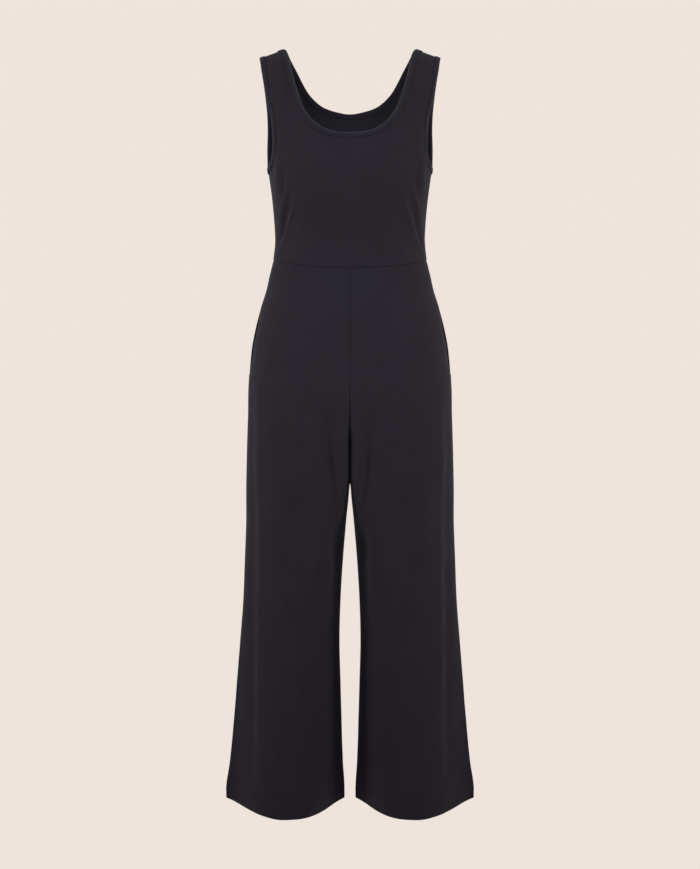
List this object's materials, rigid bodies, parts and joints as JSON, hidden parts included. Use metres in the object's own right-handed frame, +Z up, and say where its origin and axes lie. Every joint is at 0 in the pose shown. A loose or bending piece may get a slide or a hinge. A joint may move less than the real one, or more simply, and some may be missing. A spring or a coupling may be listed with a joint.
{
  "type": "jumpsuit",
  "caption": "Sleeveless scoop-neck knit jumpsuit with a waist seam, in-seam side pockets and wide cropped legs, hollow and filled out as worn.",
  "frame": {"origin": "midway between the shoulder straps, level with their undersides where they rest on what holds the garment up", "axes": "+Z up along the garment's length, +X to the wearer's left, the front faces -Y"},
  "size_m": [0.4402, 0.235, 1.3157],
  "materials": {
    "cloth": "matte black crepe knit with a fine speckled face",
    "binding": "matte black self-fabric binding",
    "pocketing": "matte black knit pocketing"
  },
  "bodies": {
    "root": {"bodice_front": "cloth", "bodice_back": "cloth", "trouser_front_left": "cloth", "trouser_front_right": "cloth", "trouser_back_left": "cloth", "trouser_back_right": "cloth", "neck_binding": "binding", "armhole_binding_left": "binding", "armhole_binding_right": "binding", "pocket_bag_left": "pocketing", "pocket_bag_right": "pocketing"}
  },
  "joints": []
}
